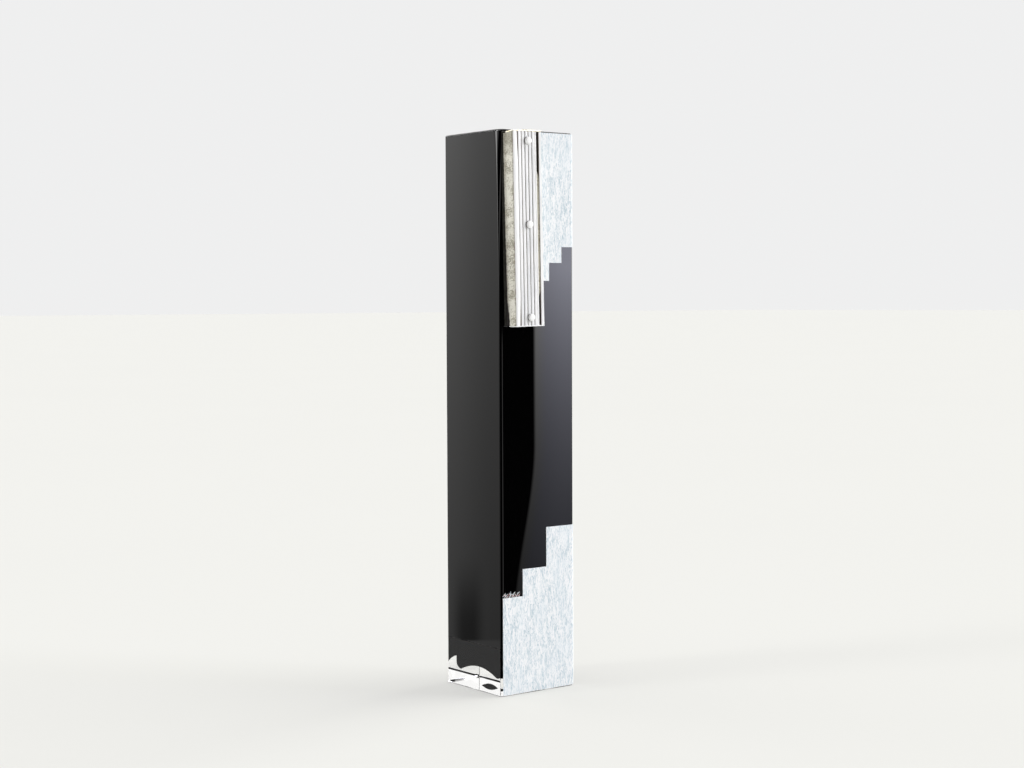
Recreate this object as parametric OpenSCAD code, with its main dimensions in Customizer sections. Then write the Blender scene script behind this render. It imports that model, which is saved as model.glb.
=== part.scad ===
// Tall square vase of cased glass: a black glass vessel inside a clear block,
// two stepped fields of silver leaf, and a ribbed metal plaque held by a rim strap.
// Millimetres. +Z is up, the decorated face looks towards -Y, and the origin is the
// centre of the base.

/* [Glass block] */
// Width and depth of the square block
block_side = 50.8; // [46:0.2:70]
// Height of the block
block_h = 305; // [250:1:420]
// Polished bevel along the block's upright edges
edge_bevel = 1.4; // [0.6:0.1:2]
// Polished bevel round the block's top and bottom
end_bevel = 0.6; // [0.4:0.1:1.5]
// Clear glass on each side of the black core
casing_wall = 4.5; // [3:0.5:6]
// Clear glass under the corners of the black core
clear_foot = 8.5; // [5:0.5:20]
// How far the core's underside rises from its corners to the middle of a side
foot_arch = 4; // [0.5:0.5:5]
// Diameter of the ground hollow in the base
pontil_d = 14; // [8:1:24]
// Depth of the ground hollow in the base
pontil_depth = 1.8; // [0.4:0.1:2]

/* [Black core] */
// Thickness of the black glass wall
core_wall = 4; // [2.5:0.5:6]
// Black glass under the floor of the hollow, at its thinnest
core_floor = 4.5; // [3:0.5:15]
// Radius of the core's upright corners
core_corner = 5; // [2:0.5:8]
// Radius of the core's bottom edges
core_foot_round = 4; // [2:0.5:6]
// Radius of the hollow's upright corners
hollow_corner = 3; // [1:0.5:5]
// Radius of the hollow's bottom edges
hollow_foot_round = 5; // [2:0.5:8]

/* [Silver leaf] */
// Thickness of the leaf with its lacquer
leaf_t = 0.25; // [0.15:0.05:0.4]
// Gap between the upper leaf and the foot of the plaque
leaf_gap = 0.3; // [0.1:0.1:1]
// Width of each step of the upper leaf
upper_step_w = 8.6; // [6:0.1:10]
// Steps of the upper leaf, counted down from the block's top, from the right edge
upper_drops = [62.2, 70.9, 80.7];
// Widths of the lower leaf's first two steps, from the left
lower_step_w = [13.4, 16.3];
// Heights of the lower leaf's three steps, from the left
lower_heights = [53.4, 68.1, 89.8];
// Corner worn off the lower leaf at its bottom right
leaf_corner = 1.5; // [0.5:0.1:3]

/* [Plaque] */
// Height of the plaque
plaque_h = 105; // [80:1:120]
// How far the ribs' crests stand out from the glass
plaque_out = 5.5; // [4.5:0.1:7]
// From the block's left edge to the plaque's lower left corner
plaque_left = 5.8; // [4:0.1:8]
// From the plaque's top to the block's top
plaque_top_gap = 0.5; // [0.5:0.1:20]
// Lean of the plaque towards the left, in degrees
plaque_lean = 1.16; // [0:0.01:1.5]
// Draft of the rough-cast left side
flank_draft = 1.45; // [0.5:0.05:2]
// Width of the polished band beside the rough-cast side
left_band_w = 3.3; // [2.5:0.1:4]
// Width of the thin wall along the right side
right_wall_w = 1.9; // [1:0.1:2.5]
// Width of the deep slot beside the thin wall, at the plaque's foot
slot_w = 1.4; // [0.8:0.1:2]
// How much wider the deep slot is at the plaque's top
slot_flare = 0.4; // [0:0.1:1]
// Metal left under the deep slot
slot_floor = 0.4; // [0.3:0.1:1]
// Backward slope of the plaque's top end, in degrees
top_slope = 10; // [0:1:15]
// Thickness of the brass plate on the top end
top_plate_t = 0.8; // [0.5:0.1:1.2]
// Thickness of the plate on the bottom end
bottom_plate_t = 0.5; // [0.3:0.1:1]
// How far the end plates stand proud of the ribs
end_plate_proud = 0.15; // [0:0.05:0.4]
// Thickness of the adhesive bed behind the plaque
bed_t = 0.8; // [0.6:0.1:1.2]
// Width of the adhesive squeezed out along the left side
bed_bead = 0.9; // [0.3:0.1:1.5]

/* [Ribs and studs] */
// Number of half-round ribs
rib_count = 5; // [4:1:6]
// Radius of a rib
rib_r = 1.1; // [0.8:0.05:1.3]
// Gap between one rib and the next
rib_gap = 0.1; // [0.1:0.02:0.4]
// Width of the flat wire beside the last rib
flat_wire_w = 0.85; // [0.5:0.05:1.5]
// Height of the flat wire beside the last rib
flat_wire_h = 0.95; // [0.5:0.05:1]
// Diameter of a stud's domed head
stud_d = 4.2; // [3.5:0.1:5]
// Height of the dome
stud_dome_h = 1.5; // [1:0.1:2]
// Radius of a stud's shank
shank_r = 0.7; // [0.5:0.05:0.9]
// Depth of the shank in the tray
shank_depth = 2; // [1:0.1:2.2]
// Height of the middle stud above the plaque's foot
middle_stud = 55; // [40:1:60]
// Distance of the outer studs from the plaque's ends
stud_end = 5; // [4:0.5:8]

/* [Rim strap] */
// Width of the strap
strap_w = 4.8; // [4:0.1:8]
// Thickness of the strap
strap_t = 0.4; // [0.4:0.1:0.7]
// Length of both legs of the strap
strap_leg = 10; // [6:1:20]
// Clearance between the strap and the adhesive round it
strap_gap = 0.1; // [0.05:0.05:0.3]
// Distance of the strap to the right of the plaque's centre line
strap_shift = 3.8; // [-4:0.1:4]

/* [Hidden] */
$fn = 64;
half = block_side / 2;
corner_steps = 6;                      // chords in a quarter circle
arch_steps = 10;                       // chords across the core's underside
core_side = block_side - 2 * casing_wall;
hollow_side = core_side - 2 * core_wall;
hollow_floor = clear_foot + foot_arch + core_floor;
past = 1;                              // how far cutting shapes run past a face
octagon_growth = 2 - sqrt(2);          // growth of a 45 degree bevel's leg when its faces move out by 1
plaque_foot = block_h - plaque_top_gap - plaque_h;
band_right = flank_draft + left_band_w;
rib_floor = plaque_out - rib_r;
rib_pitch = 2 * rib_r + rib_gap;
first_rib = band_right + rib_pitch / 2;
wire_left = band_right + rib_count * rib_pitch;
slot_left = wire_left + flat_wire_w;
plaque_w = slot_left + slot_w + right_wall_w;
stud_x = band_right + ceil(rib_count / 2) * rib_pitch;
stud_heights = [stud_end, middle_stud, plaque_h - stud_end];
strap_x = plaque_left + plaque_w / 2 - plaque_h * sin(plaque_lean) + strap_shift - half;

// ---- outlines ----

// A rectangle centred on the origin with its corners cut off at 45 degrees.
function bevelled(w, h, cut) = [
    [w / 2 - cut, -h / 2], [w / 2, -h / 2 + cut], [w / 2, h / 2 - cut], [w / 2 - cut, h / 2],
    [-w / 2 + cut, h / 2], [-w / 2, h / 2 - cut], [-w / 2, -h / 2 + cut], [-w / 2 + cut, -h / 2]];

// A quarter circle or other arc as chords.
function arc(centre, r, from, to, steps) =
    [for (i = [0 : steps]) let (a = from + (to - from) * i / steps) centre + r * [cos(a), sin(a)]];

// A square centred on the origin with round corners.
function round_square(side, r) = let (c = side / 2 - r) [
    for (k = [0 : 3]) each arc(c * [[1, 1], [-1, 1], [-1, -1], [1, -1]][k],
        r, 90 * k, 90 * k + 90, corner_steps)];

// Side view of a vessel: straight walls, round bottom edges, and an underside that
// rises in a parabola from foot at its ends to foot + arch in the middle.
function vessel_profile(side, foot, top, r, arch) = let (c = side / 2 - r) concat(
    [[side / 2, top], [-side / 2, top]],
    arc([-c, foot + r], r, 180, 270, corner_steps),
    [for (i = [1 : arch_steps - 1]) let (x = -c + 2 * c * i / arch_steps)
        [x, foot + arch * (1 - pow(x / c, 2))]],
    arc([c, foot + r], r, 270, 360, corner_steps));

// ---- shared shapes ----

// Extrudes a side view, given as [Y, Z], along X from 0 to w.
module along_x(w) rotate([90, 0, 90]) linear_extrude(w) children();

// A solid seen as the same side view from the front and from the side, and as a
// plan from above.
module three_views(plan, profile, w, top) intersection() {
    linear_extrude(top) polygon(plan);
    translate([-w / 2, 0, 0]) along_x(w) polygon(profile);
    rotate([0, 0, 90]) translate([-w / 2, 0, 0]) along_x(w) polygon(profile);
}

// The outer shape of the black core. up lengthens it past the rim for cutting.
module core_solid(up = 0) three_views(
    round_square(core_side, core_corner),
    vessel_profile(core_side, clear_foot, block_h + up, core_foot_round, foot_arch),
    core_side + past, block_h + up);

module hollow_solid() three_views(
    round_square(hollow_side, hollow_corner),
    vessel_profile(hollow_side, hollow_floor, block_h + past, hollow_foot_round, 0),
    hollow_side + past, block_h + past);

// Places children on the glass at the plaque's lower left corner: X across, -Y out
// from the glass, Z up along the leaning plaque.
module on_plaque() translate([plaque_left - half, -half, plaque_foot])
    rotate([0, -plaque_lean, 0]) children();

// The side view between two heights, with the sloping top end of the plaque.
module between(low, high, out) along_x(plaque_w + bed_bead + past) polygon([
    [0, low], [-out, low], [-out, high - (plaque_out - out) * tan(top_slope)],
    [0, high - plaque_out * tan(top_slope)]]);

// A slice of the plaque between its end plates, with the cross section given as
// children in [X, -out].
module plaque_length() intersection() {
    linear_extrude(plaque_h) children();
    translate([-bed_bead, 0, 0]) between(bottom_plate_t, plaque_h - top_plate_t, plaque_out + past);
}

// Cross section of the cast tray.
tray_section = [
    [0, -bed_t], [plaque_w, -bed_t], [plaque_w, -plaque_out], [slot_left, -plaque_out],
    [slot_left, -rib_floor], [band_right, -rib_floor], [band_right, -plaque_out + 0.4],
    [band_right - 0.5, -plaque_out], [flank_draft + 0.5, -plaque_out], [flank_draft, -plaque_out + 0.4]];

// Cross section of an end plate, the tray's outline filled in.
end_section = [
    [0, -bed_t], [plaque_w, -bed_t], [plaque_w, -plaque_out - end_plate_proud],
    [flank_draft - end_plate_proud, -plaque_out - end_plate_proud]];

module shank(r, height) translate([stud_x, -plaque_out, height]) rotate([-90, 0, 0])
    cylinder(r = r, h = rib_r + shank_depth);

module shank_holes() for (height = stud_heights) shank(shank_r, height);

// A leaf of the given outline [X, Z] on the front of the block, wrapped over the
// right-hand bevel.
module leaf(outline) intersection() {
    difference() {
        linear_extrude(block_h) polygon(bevelled(block_side + 2 * leaf_t, block_side + 2 * leaf_t,
            edge_bevel + leaf_t * octagon_growth));
        translate([0, 0, -past]) linear_extrude(block_h + 2 * past)
            polygon(bevelled(block_side, block_side, edge_bevel));
    }
    translate([0, edge_bevel - half, 0]) rotate([90, 0, 0])
        linear_extrude(edge_bevel + leaf_t + past) polygon(outline);
}

// Corners of a flight of steps: edges holds the uprights' X from left to right, one
// more than levels, and base is the straight side opposite the steps.
function flight(edges, levels, base) = concat(
    [[edges[len(levels)], base], [edges[0], base]],
    [for (i = [0 : len(levels) - 1]) each [[edges[i], levels[i]], [edges[i + 1], levels[i]]]]);

// ---- sub-parts ----

module clear_casing() color("lightcyan", 0.35) difference() {
    intersection() {
        linear_extrude(block_h) polygon(bevelled(block_side, block_side, edge_bevel));
        for (turn = [0, 90]) rotate([0, 0, turn]) translate([-half - past, 0, block_h / 2])
            along_x(block_side + 2 * past) polygon(bevelled(block_side, block_h, end_bevel));
    }
    core_solid(past);
    translate([0, 0, pontil_depth - pontil_sphere_r()]) sphere(r = pontil_sphere_r(), $fn = 96);
}

function pontil_sphere_r() = (pow(pontil_d / 2, 2) + pow(pontil_depth, 2)) / (2 * pontil_depth);

module black_core() color([0.02, 0.02, 0.025]) difference() {
    core_solid();
    hollow_solid();
}

module upper_leaf() color([0.85, 0.88, 0.92]) difference() {
    leaf(flight(
        [for (i = [3 : -1 : 1]) half - i * upper_step_w, half + leaf_t + past],
        [for (i = [2 : -1 : 0]) block_h - upper_drops[i]],
        block_h - end_bevel));
    on_plaque() translate([0, -plaque_out, -past]) cube([plaque_w + leaf_gap, plaque_out + past, plaque_h * 2]);
}

module lower_leaf() color([0.85, 0.88, 0.92]) difference() {
    leaf(flight(
        [edge_bevel - half, edge_bevel - half + lower_step_w[0],
            edge_bevel - half + lower_step_w[0] + lower_step_w[1], half + leaf_t + past],
        lower_heights, end_bevel));
    translate([half, -half, end_bevel]) rotate([0, 45, 0])
        cube([leaf_corner * sqrt(2), leaf_t * 8, leaf_corner * sqrt(2)], center = true);
}

// The deep slot, which widens from the plaque's foot to its top.
module slot() translate([slot_left, -bed_t - slot_floor, 0]) rotate([90, 0, 0])
    linear_extrude(plaque_out + past) polygon([[0, -past], [slot_w, -past], [slot_w, 0],
        [slot_w + slot_flare, plaque_h], [slot_w + slot_flare, plaque_h + past], [0, plaque_h + past]]);

module plaque_tray() color([0.72, 0.71, 0.66]) on_plaque() difference() {
    plaque_length() polygon(tray_section);
    slot();
    shank_holes();
}

module plaque_bed() color([0.9, 0.88, 0.8]) difference() {
    on_plaque() intersection() {
        linear_extrude(plaque_h) polygon([[-bed_bead, 0], [plaque_w, 0], [plaque_w, -bed_t], [0, -bed_t],
            [-bed_bead * 0.2, -bed_t * 0.9], [-bed_bead * 0.8, -bed_t * 0.5]]);
        translate([-bed_bead, 0, 0]) between(bottom_plate_t, plaque_h - top_plate_t, bed_t + past);
    }
    translate([strap_x - strap_w / 2 - strap_gap, -half - bed_t - past, block_h - strap_leg - strap_gap])
        cube([strap_w + 2 * strap_gap, bed_t + 2 * past, strap_leg * 2]);
}

module rib(i) color([0.93, 0.94, 0.96]) on_plaque() difference() {
    plaque_length() translate([first_rib + (i - 1) * rib_pitch, -rib_floor]) intersection() {
        circle(r = rib_r);
        translate([-rib_r, -rib_r]) square([2 * rib_r, rib_r]);
    }
    shank_holes();
}

module flat_wire() color([0.85, 0.86, 0.88]) on_plaque() plaque_length()
    translate([wire_left, -rib_floor - flat_wire_h]) square([flat_wire_w, flat_wire_h]);

module top_plate() color([0.93, 0.87, 0.7]) on_plaque() intersection() {
    linear_extrude(plaque_h * 2) polygon(end_section);
    along_x(plaque_w) polygon(sloped_plate(plaque_h - top_plate_t, plaque_h));
}

// Side view of a plate of the top end's slope between two heights at the crests.
function sloped_plate(low, high) = [
    [0, low - plaque_out * tan(top_slope)], [-plaque_out - past, low + past * tan(top_slope)],
    [-plaque_out - past, high + past * tan(top_slope)], [0, high - plaque_out * tan(top_slope)]];

module bottom_plate() color([0.88, 0.89, 0.91]) on_plaque() linear_extrude(bottom_plate_t)
    polygon(end_section);

module stud(height) color([0.97, 0.97, 0.98]) on_plaque() {
    dome_r = (pow(stud_d / 2, 2) + pow(stud_dome_h, 2)) / (2 * stud_dome_h);
    union() {
        intersection() {
            translate([stud_x, -plaque_out + dome_r - stud_dome_h, height]) sphere(r = dome_r);
            translate([stud_x - stud_d, -plaque_out - stud_dome_h - past, height - stud_d])
                cube([2 * stud_d, stud_dome_h + past, 2 * stud_d]);
        }
        shank(shank_r, height);
    }
}

module rim_strap() color([0.35, 0.24, 0.2]) translate([strap_x - strap_w / 2, 0, block_h])
    along_x(strap_w) polygon([
        [-half - strap_t, -strap_leg], [-half, -strap_leg], [-half, 0],
        [-hollow_side / 2, 0], [-hollow_side / 2, -strap_leg], [-hollow_side / 2 + strap_t, -strap_leg],
        [-hollow_side / 2 + strap_t, strap_t], [-half - strap_t, strap_t]]);

// ---- nodes ----

clear_casing();
black_core();
upper_leaf();
lower_leaf();
plaque_tray();
plaque_bed();
for (i = [1 : rib_count]) rib(i);
flat_wire();
top_plate();
bottom_plate();
stud(stud_heights[2]);  // stud_top
stud(stud_heights[1]);  // stud_middle
stud(stud_heights[0]);  // stud_bottom
rim_strap();
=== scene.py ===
# %% [markdown]
# # A tall block vase in cased glass
#
# The object is a black glass vessel inside a square block of clear glass. One face of the
# block carries two stepped fields of silver leaf and a cast metal plaque with ribs and
# studs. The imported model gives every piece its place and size, and this lesson makes the
# pieces look like what they are. Nothing here moves a part: each new piece goes where the
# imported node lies.

# %% Load the frame
import math

import bmesh
import bpy
from mathutils import Matrix, Vector, noise
from mathutils.geometry import interpolate_bezier


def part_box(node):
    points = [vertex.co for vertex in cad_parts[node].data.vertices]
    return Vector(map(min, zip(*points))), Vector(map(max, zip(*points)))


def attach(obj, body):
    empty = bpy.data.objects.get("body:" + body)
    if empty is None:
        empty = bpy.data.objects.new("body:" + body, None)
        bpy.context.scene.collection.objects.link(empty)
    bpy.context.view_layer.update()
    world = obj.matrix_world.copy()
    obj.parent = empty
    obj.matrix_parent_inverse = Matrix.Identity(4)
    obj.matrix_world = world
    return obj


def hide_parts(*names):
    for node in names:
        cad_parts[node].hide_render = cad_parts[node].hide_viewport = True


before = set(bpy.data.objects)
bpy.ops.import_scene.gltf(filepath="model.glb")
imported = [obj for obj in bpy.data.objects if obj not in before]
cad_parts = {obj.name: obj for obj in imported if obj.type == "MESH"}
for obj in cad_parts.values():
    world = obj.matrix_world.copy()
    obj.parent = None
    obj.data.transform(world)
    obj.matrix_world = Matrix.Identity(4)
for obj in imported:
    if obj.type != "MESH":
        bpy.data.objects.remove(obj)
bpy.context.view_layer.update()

MM = 0.001
block_low, block_high = (Vector(corner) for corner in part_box("clear_casing"))
core_low, core_high = (Vector(corner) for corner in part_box("black_core"))
BLOCK_SIDE = block_high.x - block_low.x
BLOCK_HEIGHT = block_high.z
CORE_SIDE = core_high.x - core_low.x
CASING_WALL = (BLOCK_SIDE - CORE_SIDE) / 2
print("nodes:", len(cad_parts))
print("block:", round(BLOCK_SIDE / MM, 1), "x", round(BLOCK_HEIGHT / MM, 1), "mm")

# %% [markdown]
# ## Camera
#
# The vase is seen from a little to the left of its decorated face, from about two thirds
# of its height, with a lens long enough to keep its sides nearly parallel. A camera can be
# aimed with a Track To constraint, but a matrix built from the three viewing angles is
# exact and easy to read: yaw turns it, pitch tips it, and roll is the tripod's small tilt.

# %% The camera
CAMERA_PLACE = (-0.5963, -0.7923, 0.2130)
CAMERA_YAW = 37.055
CAMERA_PITCH = -2.631
CAMERA_ROLL = 0.2265
CAMERA_LENS = 62.92


def aim(yaw, pitch, roll):
    """The turn of a camera that looks along +Y at 0, 0, 0. Angles in degrees."""
    level = Matrix.Rotation(math.radians(90), 3, "X")
    turn = Matrix.Rotation(math.radians(-yaw), 3, "Z")
    tip = Matrix.Rotation(math.radians(pitch), 3, "X")
    tilt = Matrix.Rotation(math.radians(roll), 3, "Y")
    return turn @ tip @ tilt @ level


camera_data = bpy.data.cameras.new("camera")
camera_data.lens = CAMERA_LENS
camera_data.clip_start = 0.01
camera = bpy.data.objects.new("camera", camera_data)
bpy.context.scene.collection.objects.link(camera)
camera.matrix_world = Matrix.Translation(CAMERA_PLACE) @ aim(CAMERA_YAW, CAMERA_PITCH, CAMERA_ROLL).to_4x4()
bpy.context.scene.camera = camera
print("camera at", CAMERA_PLACE, "lens", CAMERA_LENS, "mm")

# %% [markdown]
# ## Studio light
#
# Black glass shows no light of its own, only what it mirrors, so the room is the finish.
# Area lights could be placed one by one, but the sky of the world can hold a whole studio
# as a few soft shapes on directions: white walls behind and to the left, a tall softbox on
# the right, and the dark of the room behind the camera. The shapes are measured by bearing,
# turned from straight in front of the decorated face towards the right, and by height above
# the horizon. The dark side has two dim openings, a doorway and a low glow beside the
# softbox. The camera itself sees a plain pale backdrop.

# %% Small helpers for node trees
def link(tree, source, target):
    """Joins an output to an input, or sets the input when the source is a plain value."""
    if isinstance(source, bpy.types.NodeSocket):
        tree.links.new(source, target)
    else:
        target.default_value = source


def calc(tree, operation, *values, clamp=False):
    """A Math node on numbers or sockets."""
    node = tree.nodes.new("ShaderNodeMath")
    node.operation = operation
    node.use_clamp = clamp
    for value, socket in zip(values, node.inputs):
        link(tree, value, socket)
    return node.outputs[0]


def rise(tree, value, low, high, start=0.0, end=1.0):
    """A smooth step: start below low, end above high."""
    node = tree.nodes.new("ShaderNodeMapRange")
    node.interpolation_type = "SMOOTHSTEP"
    for name, number in (("From Min", low), ("From Max", high), ("To Min", start), ("To Max", end)):
        node.inputs[name].default_value = number
    link(tree, value, node.inputs["Value"])
    return node.outputs["Result"]


def blend_colour(tree, factor, first, second, mode="MIX"):
    """A colour Mix node between two colours."""
    node = tree.nodes.new("ShaderNodeMix")
    node.data_type = "RGBA"
    node.blend_type = mode
    node.clamp_factor = True
    link(tree, factor, node.inputs["Factor"])
    link(tree, first, node.inputs[6])
    link(tree, second, node.inputs[7])
    return node.outputs[2]


# %% Soft shapes on the directions of the room
def between(tree, value, low, high, soft):
    """1 between low and high, 0 outside, with edges of a given softness."""
    return calc(tree, "MULTIPLY", rise(tree, value, low - soft / 2, low + soft / 2),
                rise(tree, value, high - soft / 2, high + soft / 2, 1.0, 0.0))


def climbing(tree, height, level, per_degree, most):
    """Brightness that grows with height, from its level at the horizon up to a most."""
    grown = calc(tree, "EXPONENT", calc(tree, "MULTIPLY", height, per_degree))
    return calc(tree, "MINIMUM", calc(tree, "MULTIPLY", grown, level), most)


def fade(tree, share, first, second):
    """first where share is 0, second where it is 1."""
    return calc(tree, "ADD", calc(tree, "MULTIPLY", first, calc(tree, "SUBTRACT", 1.0, share)),
                calc(tree, "MULTIPLY", second, share))


# %% Where the room's shapes stand, as bearings and heights in degrees
WALL_CORNER = -144.45
WALL_GAP = (WALL_CORNER - 0.3, WALL_CORNER + 0.45)
WALL_GAP_TOP = (-10.4, -7.8)
TABLE_TOP = (-10.83, -10.73)
TABLE_STEP = -0.16
SIDE_LIGHT = (-112.0, -100.0)
DARK_SIDE = (-92.0, 58.0)
DOORWAY = (-50.0, -30.0)
LOW_GLOW = (16.0, 34.0)
LOW_GLOW_TOP = (-1.6, -0.6)
SOFTBOX_EDGE = 37.72
SOFTBOX_SAG = -0.7
SOFTBOX_SAG_HEIGHTS = (-10.5, -4.5)
SOFTBOX_FAR_EDGE = 108.0
DARK_CARD = (114.0, 137.0)
CEILING = (35.0, 60.0)
print("softbox from bearing", SOFTBOX_EDGE, "to", SOFTBOX_FAR_EDGE, "degrees")

# %% How bright they are
BACKDROP = 0.865
THROUGH_GLASS = 1.05
WALL_LIGHT = (0.83, 0.06, 1.25)
WALL_BEHIND, WALL_BESIDE = 1.25, 0.8
WALL_GAP_SHARE = 0.62
TABLE_LIGHT = 0.5
DARK_ROOM = 0.006
SIDE_LIGHT_LEVEL = 6.0
SOFTBOX_LIGHT = (3.55, 0.24, 4.6)
OPENING_LEVEL = 0.8
WARM_WHITE = (1.0, 0.995, 0.985, 1.0)
BLUE_WHITE = (0.97, 0.98, 1.15, 1.0)
BACKDROP_WHITE = (0.997, 0.999, 1.0, 1.0)
print("softbox", SOFTBOX_LIGHT[0], "times and wall", WALL_LIGHT[0], "times white at the horizon")

# %% Bearing and height of a direction
world = bpy.data.worlds.new("studio")
bpy.context.scene.world = world
world.use_nodes = True
sky = world.node_tree
sky.nodes.clear()
direction = sky.nodes.new("ShaderNodeTexCoord").outputs["Generated"]
axes = sky.nodes.new("ShaderNodeSeparateXYZ")
link(sky, direction, axes.inputs[0])
ahead = calc(sky, "MULTIPLY", axes.outputs["Y"], -1.0)
bearing = calc(sky, "DEGREES", calc(sky, "ARCTAN2", axes.outputs["X"], ahead))
height = calc(sky, "DEGREES", calc(sky, "ARCSINE", axes.outputs["Z"]))
below_ceiling = rise(sky, height, *CEILING, 1.0, 0.0)

# %% Walls, table and dark side
# Pale walls, brighter behind, with the dim gap between the table and the wall.
wall = calc(sky, "MULTIPLY", climbing(sky, height, *WALL_LIGHT),
            rise(sky, bearing, WALL_CORNER - 1.0, WALL_CORNER + 1.0, WALL_BEHIND, WALL_BESIDE))
gap = calc(sky, "MULTIPLY", between(sky, bearing, *WALL_GAP, 0.5),
           rise(sky, height, *WALL_GAP_TOP, WALL_GAP_SHARE, 0.0))
wall = fade(sky, gap, wall, 0.0)
table_edge = calc(sky, "ADD", height, rise(sky, bearing, WALL_CORNER - 0.5, WALL_CORNER, TABLE_STEP, 0.0))
wall = fade(sky, rise(sky, table_edge, *TABLE_TOP, 1.0, 0.0), wall, TABLE_LIGHT)

# The dark of the room behind the camera, and a dark card that draws the right-hand edges.
dark = between(sky, bearing, *DARK_SIDE, 8.0)
dark = calc(sky, "MAXIMUM", dark, between(sky, bearing, *DARK_CARD, 4.0))
room = fade(sky, calc(sky, "MULTIPLY", dark, below_ceiling), wall, DARK_ROOM)

# %% Lights
# A tall softbox on the right that fades towards the floor.
sag = rise(sky, height, *SOFTBOX_SAG_HEIGHTS, SOFTBOX_SAG, 0.0)
past_edge = calc(sky, "SUBTRACT", bearing, calc(sky, "ADD", sag, SOFTBOX_EDGE))
softbox = calc(sky, "MULTIPLY", rise(sky, past_edge, 0.0, 0.12), rise(sky, past_edge, 0.0, 1.2, 0.85, 1.1))
far_fade = rise(sky, bearing, SOFTBOX_FAR_EDGE - 5, SOFTBOX_FAR_EDGE, 1.0, 0.0)
softbox = calc(sky, "MULTIPLY", softbox, far_fade)
softbox = calc(sky, "MULTIPLY", softbox, climbing(sky, height, *SOFTBOX_LIGHT))

# A narrow light on the left, and the two dim openings in the dark side.
side_light = calc(sky, "MULTIPLY", between(sky, bearing, *SIDE_LIGHT, 2.0),
                  rise(sky, height, -3.0, 3.0, 0.0, SIDE_LIGHT_LEVEL))
lights = calc(sky, "MULTIPLY", calc(sky, "MAXIMUM", softbox, side_light), below_ceiling)
doorway = calc(sky, "MULTIPLY", between(sky, bearing, *DOORWAY, 2.0), OPENING_LEVEL)
low_glow = calc(sky, "MULTIPLY", between(sky, bearing, *LOW_GLOW, 2.0),
                rise(sky, height, *LOW_GLOW_TOP, OPENING_LEVEL, 0.0))
openings = calc(sky, "MAXIMUM", doorway, low_glow)
brightness = calc(sky, "MAXIMUM", room, calc(sky, "MAXIMUM", lights, openings))

# %% The world's output
# What is seen straight on is the plain backdrop, and clear glass gathers light from all round.
ray = sky.nodes.new("ShaderNodeLightPath")
through = calc(sky, "MINIMUM", ray.outputs["Transmission Depth"], 1.0)
brightness = calc(sky, "MAXIMUM", brightness, calc(sky, "MULTIPLY", through, THROUGH_GLASS))
studio = sky.nodes.new("ShaderNodeBackground")
link(sky, brightness, studio.inputs["Strength"])
edge_share = calc(sky, "MULTIPLY", rise(sky, past_edge, 0.0, 0.5), rise(sky, past_edge, 5.0, 9.0, 1.0, 0.0))
link(sky, blend_colour(sky, edge_share, WARM_WHITE, BLUE_WHITE), studio.inputs["Color"])
backdrop = sky.nodes.new("ShaderNodeBackground")
backdrop.inputs["Color"].default_value = BACKDROP_WHITE
backdrop.inputs["Strength"].default_value = BACKDROP
either = sky.nodes.new("ShaderNodeMixShader")
link(sky, ray.outputs["Is Camera Ray"], either.inputs["Fac"])
link(sky, studio.outputs[0], either.inputs[1])
link(sky, backdrop.outputs[0], either.inputs[2])
link(sky, either.outputs[0], sky.nodes.new("ShaderNodeOutputWorld").inputs["Surface"])
bpy.context.scene.view_settings.view_transform = "Standard"
print("world shader with", len(sky.nodes), "nodes")

# %% The floor, which isn't part of the object
FLOOR_SIZE = 60.0
FLOOR_DROP = 0.05 * MM
bpy.ops.mesh.primitive_plane_add(size=FLOOR_SIZE, location=(0, 0, -FLOOR_DROP))
floor = bpy.context.object
floor.name = "floor"
floor.visible_glossy = False
print("floor", FLOOR_SIZE, "m across")

# %% [markdown]
# ## Materials
#
# Each finish is a small node tree on Object coordinates, so its grain has its real size in
# millimetres and stays put when the object is seen from another side. A helper starts every
# material with a Principled shader and sets the values that are the same all over.

# %% Helpers for materials
def start_material(name, **values):
    """A material with a Principled shader, its tree, the shader and Object coordinates."""
    material = bpy.data.materials.new(name)
    material.use_nodes = True
    tree = material.node_tree
    shader = tree.nodes["Principled BSDF"]
    for socket, value in values.items():
        shader.inputs[socket.replace("_", " ")].default_value = value
    place = tree.nodes.new("ShaderNodeTexCoord").outputs["Object"]
    return material, tree, shader, place


def stretched(tree, place, scale):
    """Coordinates in millimetres, stretched by a scale on each axis."""
    node = tree.nodes.new("ShaderNodeMapping")
    node.inputs["Scale"].default_value = [s / MM for s in scale]
    link(tree, place, node.inputs["Vector"])
    return node.outputs[0]


def grain(tree, place, scale, detail=2.0, roughness=0.5, distortion=0.0, seed=0.0):
    """Noise with a scale on each axis, in cycles per millimetre."""
    node = tree.nodes.new("ShaderNodeTexNoise")
    node.noise_dimensions = "4D"
    node.inputs["W"].default_value = seed
    node.inputs["Scale"].default_value = 1.0
    node.inputs["Detail"].default_value = detail
    node.inputs["Roughness"].default_value = roughness
    node.inputs["Distortion"].default_value = distortion
    link(tree, stretched(tree, place, scale), node.inputs["Vector"])
    return node.outputs["Fac"]


def relief(tree, shader, height, depth, distance=1.0):
    """Bump of a real depth in millimetres on a shader's normal."""
    node = tree.nodes.new("ShaderNodeBump")
    node.inputs["Strength"].default_value = depth
    node.inputs["Distance"].default_value = distance * MM
    link(tree, height, node.inputs["Height"])
    link(tree, node.outputs[0], shader.inputs["Normal"])


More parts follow.
